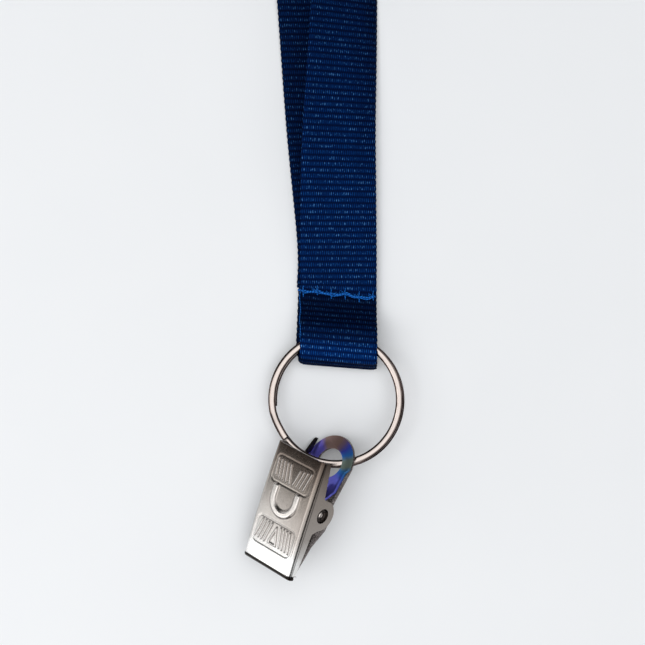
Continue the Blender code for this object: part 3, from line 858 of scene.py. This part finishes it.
def build_loop(mat):
    """The sewn end: woven band laid over the wire column by column, ribs square to the band."""
    columns = 22
    lines = []
    for i in range(columns + 1):
        share = i / columns
        x = STRAP_X + STRAP_WIDTH * (share - 0.5)
        section = loop_section(x, share)
        line = []
        for k, (y, z) in enumerate(section):
            share_along = k / (len(section) - 1)
            under = max(0.0, min(1.0, 1.7 - 4.0 * share_along)) * min(1.0, 0.3 + 3.0 * share_along)
            line.append(Vector((x + UNDER_SHIFT * under, y, z)))
        lines.append(line)
    middle = lines[columns // 2]
    travelled = [0.0]
    for a, b in zip(middle, middle[1:]):
        travelled.append(travelled[-1] + (b - a).length)
    total = travelled[-1]
    rows = int(total / RIB_PITCH * 7)
    loops = []
    uvs = []
    index = 0
    half = STRAP_THICK / 2
    for r in range(rows + 1):
        place = total * r / rows
        while index < len(travelled) - 2 and travelled[index + 1] < place:
            index += 1
        along = total - place
        rib = rib_height(along)
        wobble = 0.05 * math.cos(math.tau * along / RIB_PITCH)
        pinch = 0.18 * math.exp(-(along / 0.7) ** 2)
        upper = []
        lower = []
        widths = []
        for i, line in enumerate(lines):
            here = line[index]
            ahead = line[min(index + 3, len(line) - 1)] - line[max(index - 3, 0)]
            neighbour = lines[min(i + 1, columns)][index] - lines[max(i - 1, 0)][index]
            normal = ahead.cross(neighbour).normalized()
            edge = abs(2 * i / columns - 1)
            round_off = (1.0 - edge ** 14) ** 0.5 if edge < 1 else 0.0
            rise = (half - RIB_DEPTH + rib - pinch) * (0.22 + 0.78 * round_off)
            spot = here + Vector((wobble * edge ** 6 * (1 if i > columns / 2 else -1), 0, 0))
            upper.append(spot + normal * rise)
            lower.append(spot - normal * rise)
            widths.append(((i / columns - 0.5) * STRAP_WIDTH, -along))
        loops.append(upper + lower[::-1])
        uvs.append(widths + widths[::-1] + [widths[0]])
    loop = closed_tube("end_loop", loops, uvs, mat)
    shown(loop, None, "strap_cloth", "strap_end_loop")
    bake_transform(loop)
    return loop


def stitch_thread(name, points, radius, mat):
    """A piece of thread along a few points."""
    return round_tube(name, smooth_curve(points, 5), radius, 8, mat)


def build_stitches(mat):
    """A hand-guided row of stitching: wavy floats, upright ticks at the needle holes, loose hairs."""
    surface = STRAP_THICK * 2 + LAYER_GAP
    left = STRAP_X - STRAP_WIDTH / 2
    right = left + STRAP_WIDTH
    count = 5
    pitch = (STRAP_WIDTH - 0.9) / count
    sway = (0.05, -0.34, 0.20, -0.16, 0.26, 0.02)
    floats = []
    for i in range(count):
        x = right - 0.4 - pitch * i
        nx = x - pitch
        y = seam_y(x) + sway[i]
        ny = seam_y(nx) + sway[i + 1]
        floats += [
            (x, y, surface - 0.20),
            (x - 0.25, y + 0.06, surface + 0.08),
            (x - pitch * 0.5, (y + ny) / 2 - 0.14, surface + 0.20),
            (nx + 0.25, ny + 0.10, surface + 0.08),
        ]
    end_y = floats[-1][1]
    floats += [
        (left - 0.05, end_y + 0.05, surface - 0.05),
        (left - 0.32, end_y + 0.12, surface - 0.55),
        (left - 0.30, end_y + 0.16, 1.15),
    ]
    pieces = [stitch_thread("seam_float", floats, 0.17, mat)]
    second = [(x + 0.12, y - 0.26 + 0.22 * math.sin(x * 2.1), z - 0.02) for x, y, z in floats[1:-3]]
    pieces.append(stitch_thread("seam_float_lower", second, 0.12, mat))
    for i in range(count + 1):
        x = right - 0.7 - pitch * i * 0.97
        y = seam_y(x) + sway[i]
        tall = 0.9 + 1.0 * math.sin(3.1 * i + 0.6) ** 2
        deep = 0.75 + 0.45 * math.sin(2.3 * i) ** 2
        tick = [
            (x + 0.06, y - deep, surface - 0.25),
            (x + 0.02, y - deep * 0.6, surface + 0.10),
            (x - 0.05, y + 0.20, surface + 0.22),
            (x + 0.04, y + tall * 0.75, surface + 0.05),
            (x + 0.10, y + tall, surface - 0.25),
        ]
        pieces.append(stitch_thread("needle_tick", tick, 0.10, mat))
        for k in range(3):
            reach = 0.5 + 0.35 * math.sin(5.0 * i + 2.2 * k)
            hair = [
                (x - 0.2, y - 0.1, surface + 0.02),
                (x - 0.3 - 0.3 * k, y + 0.20 + 0.22 * k, surface + 0.32),
                (x - 0.3 - reach, y + 0.35 - 0.30 * k, surface + 0.30),
            ]
            pieces.append(stitch_thread("loose_hair", hair, 0.035, mat))
    edge = []
    for k, (y, z) in enumerate(loop_section(left + 0.02, 0.0)[60 * 8 + 30::30]):
        edge.append((left + 0.02 + 0.10 * math.sin(1.9 * k), y,
                     z + STRAP_THICK / 2 - 0.12 + 0.12 * math.sin(1.3 * k)))
    pieces.append(stitch_thread("edge_thread", edge, 0.07, mat))
    join(*pieces)
    pieces[0].name = "stitching"
    return shown(pieces[0], "strap", "seam_thread", "seam_thread")


# ---------------------------------------------------------------- split ring

def ring_level(sweep):
    """Height of the wire at this angle: upper turn, step, lower turn."""
    upper = (WIRE_AXIAL + TURN_GAP) / 2
    if sweep <= STEP_START:
        return upper
    if sweep >= STEP_END:
        return -upper
    return upper * math.cos(math.pi * (sweep - STEP_START) / (STEP_END - STEP_START))


def build_ring(mat):
    """Two turns of flat wire with softened corners; the cut ends lie beside the step."""
    tilt = (
        Matrix.Rotation(math.radians(RING_TILT_Y), 3, "Y")
        @ Matrix.Rotation(math.radians(RING_TILT_X), 3, "X")
    )
    section = []
    for k in range(WIRE_POINTS):
        angle = math.tau * k / WIRE_POINTS
        c = math.cos(angle)
        d = math.sin(angle)
        section.append((
            WIRE_RADIAL / 2 * math.copysign(abs(c) ** 0.90, c),
            WIRE_AXIAL / 2 * math.copysign(abs(d) ** 0.95, d),
        ))
    shift = Vector(TURN_DRIFT)
    rows = 460
    loops = []
    uvs = []
    for i in range(rows + 1):
        sweep = 2.0 + RING_SWEEP * i / rows
        angle = math.radians(RING_END_ANGLE + sweep)
        end = min(i, rows - i)
        shrink = 0.90 if end == 0 else 0.97 if end == 1 else 1.0
        out = Vector((math.cos(angle), math.sin(angle), 0.0))
        drift = shift * (0.5 - ring_level(sweep) / (WIRE_AXIAL + TURN_GAP))
        loops.append([
            RING_CENTRE + drift + tilt @ (out * (RING_MEAN_R + a * shrink)
                                  + Vector((0, 0, ring_level(sweep) + b * shrink)))
            for a, b in section
        ])
        uvs.append([(k, sweep) for k in range(len(section) + 1)])
    ring = closed_tube("wire_ring", loops, uvs, mat)
    smooth_by_angle(ring, 50)
    return shown(ring, "ring", "ring_nickel", "split_ring")


# ---------------------------------------------------------------- clip

def to_world(obj):
    """Put a piece made in the clip's own frame (mm) where the clip lies."""
    place = Matrix.Translation(PIVOT * MM) @ CLIP_TURN.to_4x4() @ Matrix.Scale(MM, 4)
    obj.data.transform(place)
    return obj


def capsule(x, y, a, b, width, height, soft):
    """Height of a raised rib from a to b at (x, y)."""
    ax, ay = a
    bx, by = b
    dx = bx - ax
    dy = by - ay
    t = max(0.0, min(1.0, ((x - ax) * dx + (y - ay) * dy) / (dx * dx + dy * dy)))
    away = math.hypot(x - ax - t * dx, y - ay - t * dy)
    share = (width / 2 + soft - away) / soft
    share = max(0.0, min(1.0, share))
    return height * share * share * (3 - 2 * share)


def grip_ribs():
    """Thin grip ribs pressed in the two panels: they fan away from the panel's middle."""
    ribs = []
    high = 7.65
    low = 3.95
    for i in range(5):
        x = -4.50 + 0.88 * i
        ribs.append(((x - 0.05, high - 0.05 * i), (x + 0.40 + 0.12 * i, low + 0.12 * (4 - i))))
    for i in range(4):
        x = 4.50 - 0.94 * i
        ribs.append(((x, high - 0.12 - 0.14 * i), (x - 0.85, low + 0.12)))
    high = -4.55
    low = -8.45
    for i in range(4):
        x = -4.55 + 0.86 * i
        ribs.append(((x + 0.95, high - 0.10), (x, low + 0.25 - 0.05 * i)))
    for i in range(4):
        x = 4.55 - 0.84 * i
        ribs.append(((x - 0.62, high - 0.10), (x, low + 0.10 + 0.05 * i)))
    top = (0.30, high - 0.5)
    left = (-0.85, low + 0.2)
    right = (1.15, low + 0.2)
    ribs += [(top, left), (top, right), (left, right)]
    return ribs


def panel_edge(x, y, middle_y):
    """A shallow groove round a panel's rounded outline."""
    half_x = 5.0
    half_y = 2.62
    corner = 1.0
    qx = abs(x) - (half_x - corner)
    qy = abs(y - middle_y) - (half_y - corner)
    away = math.hypot(max(qx, 0), max(qy, 0)) + min(max(qx, qy), 0.0) - corner
    groove = math.exp(-(away / 0.16) ** 2)
    inside = 1.0 / (1.0 + math.exp(away / 0.09))
    return -0.045 * groove - 0.04 * inside


def horseshoe(x, y):
    """The raised U that stiffens the plate, open towards the lever end."""
    if y < HORSESHOE_Y:
        away = abs(math.hypot(x, y - HORSESHOE_Y) - HORSESHOE_R)
    else:
        over = max(0.0, y - 2.3)
        away = math.hypot(abs(abs(x) - HORSESHOE_R), over)
    share = max(0.0, min(1.0, (0.92 - away) / 0.55))
    return 0.32 * share * share * (3 - 2 * share)


def pressed_pattern(x, y, ribs):
    """Height of the horseshoe, the ribs and the panels' outlines alone."""
    rise = horseshoe(x, y)
    rise += panel_edge(x, y, PANELS_Y[0]) + panel_edge(x, y, PANELS_Y[1])
    return rise + max(capsule(x, y, a, b, 0.20, RIB_HEIGHT, 0.20) for a, b in ribs)


def note_pattern(mesh, ribs):
    """Keep each point's steepness, where painted shade goes, and its crest, where a painted highlight goes.
    """
    step = 0.06
    flat = FRONT_WIDTH / 2 - BEND_R
    slopes = []
    crests = []
    for vertex in mesh.vertices:
        x, y, z = vertex.co
        if abs(x) > flat or z < FRONT_FACE_Z - 1.0:
            slopes.append(0.0)
            crests.append(0.0)
            continue
        rise_x = pressed_pattern(x + step, y, ribs) - pressed_pattern(x - step, y, ribs)
        rise_y = pressed_pattern(x, y + step, ribs) - pressed_pattern(x, y - step, ribs)
        slopes.append(math.hypot(rise_x, rise_y) / (2 * step))
        crests.append(min(1.0, max(0.0, pressed_pattern(x, y, ribs)) / RIB_HEIGHT) ** 3)
    for name, values in (("slope", slopes), ("crest", crests)):
        layer = mesh.attributes.new(name, "FLOAT", "POINT")
        layer.data.foreach_set("value", values)


def plate_relief(x, y, ribs):
    """How far the pressed pattern stands out of the front plate at (x, y)."""
    rise = pressed_pattern(x, y, ribs)
    bow = 0.30 * ((y + 1.3) / 11.9) ** 2 - 0.26 + 0.06 * (abs(x) / 5.5) ** 4
    return rise - bow


def flange_bottom(y):
    """Lower edge of the front jaw's side at y."""
    points = [
        (LEVER_END_Y, 2.55), (LEVER_END_Y - 0.12, 2.30), (LEVER_END_Y - 0.45, 2.12),
        (LEVER_END_Y - 0.9, 2.05), (3.6, 0.95), (3.2, 0.55), (FRONT_EAR_R * 0.985, -0.5),
    ]
    if abs(y) < FRONT_EAR_R * 0.985:
        return -math.sqrt(FRONT_EAR_R ** 2 - y * y)
    if y < 0:
        points = [
            (-FRONT_EAR_R * 0.985, -0.5), (-3.15, 0.3), (-3.8, 1.4), (-7.8, 1.8),
            (JAW_TIP_Y, FRONT_FACE_Z - LIP_DEPTH),
        ]
    for (y0, z0), (y1, z1) in zip(points, points[1:]):
        if y1 <= y <= y0:
            return z0 + (z1 - z0) * (y0 - y) / (y0 - y1)
    return points[-1][1]


def row_places():
    """Rows along the front plate, closer together at the ends and beside the ears."""
    rows = [LEVER_END_Y - 0.04 * i for i in range(4)]
    y = rows[-1]
    while y > JAW_TIP_Y + BEND_R + 0.12:
        near_ear = abs(abs(y) - FRONT_EAR_R) < 0.5
        y -= 0.05 if near_ear else 0.12
        rows.append(y)
    return rows + [JAW_TIP_Y + BEND_R]


def across_profile():
    """The channel's outside from the middle: places on the plate, angles on the bend, shares of the side."""
    flat = FRONT_WIDTH / 2 - BEND_R
    plate = [flat * i / 60 for i in range(61)]
    bend = [90 * i / 7 for i in range(1, 8)]
    side = [i / 14 for i in range(1, 15)]
    return plate, bend, side


def channel_row(y, ribs):
    """Outside points of the front jaw at y from the left flange's edge to the right one's."""
    flat = FRONT_WIDTH / 2 - BEND_R
    plate, bend, side = across_profile()
    bottom = flange_bottom(y)
    half = []
    for x in plate:
        half.append((x, None))
    crown = FRONT_FACE_Z + plate_relief(flat, y, ribs)
    for angle in bend:
        turn = math.radians(angle)
        half.append((flat + BEND_R * math.sin(turn), crown - BEND_R * (1 - math.cos(turn))))
    top_of_side = crown - BEND_R
    for share in side:
        half.append((FRONT_WIDTH / 2, top_of_side + (bottom - top_of_side) * share))
    right = []
    for x, z in half:
        if z is None:
            right.append(Vector((x, y, FRONT_FACE_Z + plate_relief(x, y, ribs))))
        else:
            right.append(Vector((x, y, z)))
    left = []
    for x, z in half[1:]:
        if z is None:
            left.append(Vector((-x, y, FRONT_FACE_Z + plate_relief(-x, y, ribs))))
        else:
            left.append(Vector((-x, y, z)))
    return left[::-1] + right


def build_tip_lip(mat):
    """The front jaw's tip, bent down across its whole width to bite on the other jaw."""
    bend_y = JAW_TIP_Y + BEND_R
    top = FRONT_FACE_Z + plate_relief(0.0, bend_y, grip_ribs())
    outer = [(bend_y + 0.35, top)]
    inner = [(bend_y + 0.35, top - SHEET)]
    for k in range(9):
        turn = math.radians(90 * k / 8)
        for path, reach in ((outer, BEND_R), (inner, BEND_R - SHEET)):
            path.append((bend_y - reach * math.sin(turn), top - BEND_R + reach * math.cos(turn)))
    bottom = FRONT_FACE_Z - LIP_DEPTH
    outer += [(JAW_TIP_Y, bottom + 0.08), (JAW_TIP_Y + 0.08, bottom)]
    inner += [(JAW_TIP_Y + SHEET, bottom + 0.08), (JAW_TIP_Y + SHEET - 0.08, bottom)]
    outline = outer + inner[::-1]
    loops = []
    uvs = []
    flat = FRONT_WIDTH / 2 - BEND_R
    places = [-6.27, -6.18, -6.05, -5.85, -flat, -3.0, 0.0, 3.0, flat, 5.85, 6.05, 6.18, 6.27]
    for x in places:
        past = max(0.0, abs(x) - flat) / BEND_R
        drop = BEND_R * (1.0 - math.sqrt(1.0 - past * past)) + 0.02
        keep = 1.0 - drop / (top - bottom)
        loops.append([Vector((x, y, bottom + (z - bottom) * keep)) for y, z in outline])
        uvs.append([(k, x) for k in range(len(outline) + 1)])
    lip = closed_tube("tip_lip", loops, uvs, mat)
    lip.data.transform(Matrix.Scale(1 / MM, 4))
    return lip


def join(first, *others):
    """Join pieces into the first one."""
    activate(first)
    for other in others:
        other.select_set(True)
    bpy.ops.object.join()
    return first


def build_front_jaw(mat):
    """Pressed channel: plate with its pattern, rounded bends, eared sides and a turned-down tip."""
    ribs = grip_ribs()
    grid = [channel_row(y, ribs) for y in row_places()]
    columns = len(grid[0])
    mesh = bpy.data.meshes.new("front_jaw")
    verts = [p for row in grid for p in row]
    faces = [
        (j * columns + i, (j + 1) * columns + i, (j + 1) * columns + i + 1, j * columns + i + 1)
        for j in range(len(grid) - 1) for i in range(columns - 1)
    ]
    mesh.from_pydata(verts, [], faces)
    mesh.validate()
    note_pattern(mesh, ribs)
    jaw = new_object("front_jaw", mesh, mat)
    wall = jaw.modifiers.new("Sheet", "SOLIDIFY")
    wall.thickness = SHEET
    wall.offset = -1.0
    wall.use_even_offset = False
    apply_all(jaw)
    drill_eyelets(jaw)
    jaw = join(jaw, build_tip_lip(mat))
    to_world(jaw)
    smooth_by_angle(jaw, 40)
    return shown(jaw, "clip_front", "clip_nickel", "clip_front_jaw")


def drill_eyelets(jaw):
    """Cut the pin's hole through both ears."""
    deselect()
    bpy.ops.mesh.primitive_cylinder_add(
        vertices=64, radius=EYELET_R, depth=3 * FRONT_WIDTH, rotation=(0, math.radians(90), 0))
    drill = bpy.context.object
    hole = jaw.modifiers.new("Eyelet", "BOOLEAN")
    hole.solver = "EXACT"
    hole.object = drill
    apply_all(jaw)
    bpy.data.objects.remove(drill, do_unlink=True)


def back_surface(y):
    """Height of the back lever's sheet at y."""
    return KNEE_Z - math.tan(math.radians(LEVER_SPLAY)) * (y - KNEE_Y)


def refined_copy(node, name, mat, edge):
    """A finer copy of a machined solid: merged, its flats made whole and its edges broken."""
    mesh = frame["nodes"][node].data.copy()
    obj = new_object(name, mesh, mat)
    bm = bmesh.new()
    bm.from_mesh(mesh)
    bmesh.ops.remove_doubles(bm, verts=bm.verts, dist=1e-6)
    bmesh.ops.dissolve_limit(bm, angle_limit=math.radians(0.6), verts=bm.verts, edges=bm.edges)
    bm.to_mesh(mesh)
    bm.free()
    soft = obj.modifiers.new("Broken edges", "BEVEL")
    soft.width = edge * MM
    soft.segments = 2
    soft.limit_method = "ANGLE"
    soft.angle_limit = math.radians(40)
    soft.use_clamp_overlap = True
    apply_all(obj)
    smooth_by_angle(obj, 35)
    return obj


def build_tab_ear(mat):
    """The side of the back lever that stands up beside the tab's hole, on the left."""
    half = FRONT_WIDTH / 2 - SHEET - 0.1
    side = [(8.2, 0.5), (8.2, 2.05), (11.6, 1.15), (11.8, 0.9), (11.8, 0.5)]
    loops = []
    uvs = []
    for x, shrink in ((-half, 0.92), (-half + 0.06, 1.0), (-half + SHEET - 0.06, 1.0), (-half + SHEET, 0.92)):
        loops.append([
            Vector((x, 10.0 + (y - 10.0) * shrink, back_surface(y) + 1.2 + (z - 1.2) * shrink))
            for y, z in side
        ])
        uvs.append([(k, x) for k in range(len(side) + 1)])
    ear = closed_tube("tab_ear", loops, uvs, mat)
    ear.data.transform(Matrix.Scale(1 / MM, 4))
    ear.data.uv_layers[0].name = "sheet"
    smooth_by_angle(ear, 30)
    return to_world(ear)


def build_back_jaw(outside, inside):
    """Back jaw with its tinted inside and the ear beside the tab."""
    jaw = refined_copy("clip_back_jaw", "back_jaw", outside, 0.09)
    mesh = jaw.data
    mesh.materials.append(inside)
    turn = CLIP_TURN.transposed()
    layer = mesh.uv_layers.new(name="sheet") if "sheet" not in mesh.uv_layers else mesh.uv_layers["sheet"]
    for polygon in mesh.polygons:
        faces_front = (turn @ polygon.normal).z > 0.25
        polygon.material_index = 1 if faces_front else 0
        for index in polygon.loop_indices:
            spot = turn @ (mesh.vertices[mesh.loops[index].vertex_index].co / MM - PIVOT)
            layer.data[index].uv = (spot.x, spot.y)
    # The ear beside the tab is painted nearly black as shade.
    join(jaw, build_tab_ear(shade_black_steel()))
    return shown(jaw, "clip_back", "clip_tempered", "clip_back_jaw")


def build_pin(mat):
    """Pivot pin with a rolled rim and a small raised middle at each end."""
    outer = FRONT_WIDTH / 2 - 0.25
    inner = outer - 0.55
    end = [
        (0.0, outer - 0.02), (0.28, outer - 0.05), (0.45, outer - 0.22), (0.62, outer - 0.36),
        (0.85, outer - 0.30), (1.0, outer - 0.10), (1.14, outer - 0.01), (1.28, outer - 0.08),
        (1.35, outer - 0.24), (1.35, inner + 0.02), (0.75, inner),
    ]
    profile = end + [(r, -x) for r, x in reversed(end)]
    mesh = bpy.data.meshes.new("pivot_pin")
    mesh.from_pydata([(x, r, 0.0) for r, x in profile], [(i, i + 1) for i in range(len(profile) - 1)], [])
    pin = new_object("pivot_pin", mesh, mat)
    turned = pin.modifiers.new("Turned", "SCREW")
    turned.axis = "X"
    turned.steps = 48
    turned.render_steps = 48
    turned.use_merge_vertices = True
    turned.merge_threshold = 1e-5
    apply_all(pin)
    bm = bmesh.new()
    bm.from_mesh(mesh)
    bmesh.ops.remove_doubles(bm, verts=bm.verts, dist=1e-5)
    bmesh.ops.recalc_face_normals(bm, faces=bm.faces)
    bm.to_mesh(mesh)
    bm.free()
    to_world(pin)
    smooth_by_angle(pin, 60)
    return shown(pin, "clip_back", "clip_nickel", "clip_pivot_pin")


def build_spring(mat):
    """Torsion spring on the pin, with one leg on each jaw."""
    clear = LAYER_GAP + 0.15 + SPRING_WIRE / 2
    half = SPRING_TURNS * SPRING_PITCH / 2
    front_leg = FRONT_FACE_Z - SHEET - clear
    back_leg = back_surface(SPRING_LEG_Y) + SHEET + clear
    points = [(-half, SPRING_LEG_Y, front_leg), (-half, SPRING_LEG_Y / 2, (front_leg + SPRING_R) / 2)]
    steps = 150
    for i in range(steps + 1):
        share = i / steps
        angle = math.radians(90 + (SPRING_TURNS * 360 + 180) * share)
        points.append((half * (2 * share - 1), SPRING_R * math.cos(angle), SPRING_R * math.sin(angle)))
    points += [(half, SPRING_LEG_Y / 2, (back_leg - SPRING_R) / 2), (half, SPRING_LEG_Y, back_leg)]
    spring = round_tube("torsion_spring", points, SPRING_WIRE / 2, 12, mat)
    spring.data.transform(Matrix.Scale(1 / MM, 4))
    to_world(spring)
    smooth_by_angle(spring, 50)
    shown(spring, None, "spring_wire", "clip_spring")
    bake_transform(spring)
    return spring


# ---------------------------------------------------------------- stage

def soft_box(name, place, aim, size, power, colour=(1.0, 1.0, 1.0)):
    """A rectangular lamp that faces a point."""
    light = bpy.data.lights.new(name, "AREA")
    light.shape = "RECTANGLE"
    light.size = size[0]
    light.size_y = size[1]
    light.energy = power
    light.color = colour
    lamp = bpy.data.objects.new(name, light)
    bpy.context.scene.collection.objects.link(lamp)
    lamp.location = place
    lamp.rotation_euler = (Vector(aim) - Vector(place)).to_track_quat("-Z", "Y").to_euler()


def studio_room():
    """A pale ceiling over a dim room: metal shows the dim band, the table gets soft light."""
    world = bpy.data.worlds.new("studio")
    world.use_nodes = True
    tree = world.node_tree
    background = tree.nodes["Background"]
    coords = tree.nodes.new("ShaderNodeTexCoord")
    parts = tree.nodes.new("ShaderNodeSeparateXYZ")
    shade = tree.nodes.new("ShaderNodeValToRGB")
    stops = (
        (0.0, 0.12), (0.10, 0.08), (0.24, 0.03), (0.64, 0.08), (0.80, 1.18), (1.0, 1.62),
    )
    ramp = shade.color_ramp
    ramp.interpolation = "EASE"
    while len(ramp.elements) < len(stops):
        ramp.elements.new(0.5)
    for element, (height, grey) in zip(ramp.elements, stops):
        element.position = height
        element.color = (grey * 0.985, grey, grey * 1.02, 1.0)
    tree.links.new(coords.outputs["Generated"], parts.inputs[0])
    tree.links.new(parts.outputs["Z"], shade.inputs[0])
    tree.links.new(shade.outputs[0], background.inputs["Color"])
    background.inputs["Strength"].default_value = 1.03
    return world


def build_stage():
    """Table top, room, lamps and camera."""
    scene = bpy.context.scene
    scene.world = studio_room()
    deselect()
    bpy.ops.mesh.primitive_plane_add(size=4.0, location=(0, 0.02, -0.00006))
    floor = bpy.context.object
    floor.name = "table_top"
    floor.data.materials.append(paper_white())
    soft_box("key", (-0.46, -0.04, 0.42), (0, 0.0, 0), (0.40, 0.40), 0.85)
    soft_box("left_window", (-0.60, -0.20, 0.12), (0, -0.01, 0), (0.48, 0.20), 0.56)
    soft_box("near_window", (-0.10, -0.62, 0.42), (0, 0.02, 0), (0.7, 0.3), 1.36)
    soft_box("right_fill", (0.62, 0.25, 0.40), (0, 0.02, 0), (0.4, 0.3), 0.5)
    camera = bpy.data.cameras.new("overhead")
    camera.sensor_width = 36.0
    camera.lens = 85.0
    camera.clip_start = 0.01
    view = bpy.data.objects.new("overhead", camera)
    scene.collection.objects.link(view)
    view.location = (0.0, 0.021, 0.300)
    scene.camera = view
    scene.view_settings.view_transform = "Standard"


# ---------------------------------------------------------------- build

build_stage()
cloth = woven_navy()
build_band(cloth)
build_loop(cloth)
build_stitches(stitch_blue())
plate = stained_plate()
build_ring(rolled_wire())
build_front_jaw(plate)
build_back_jaw(worn_steel(), heat_tint())
build_pin(pin_nickel())
build_spring(dark_steel())
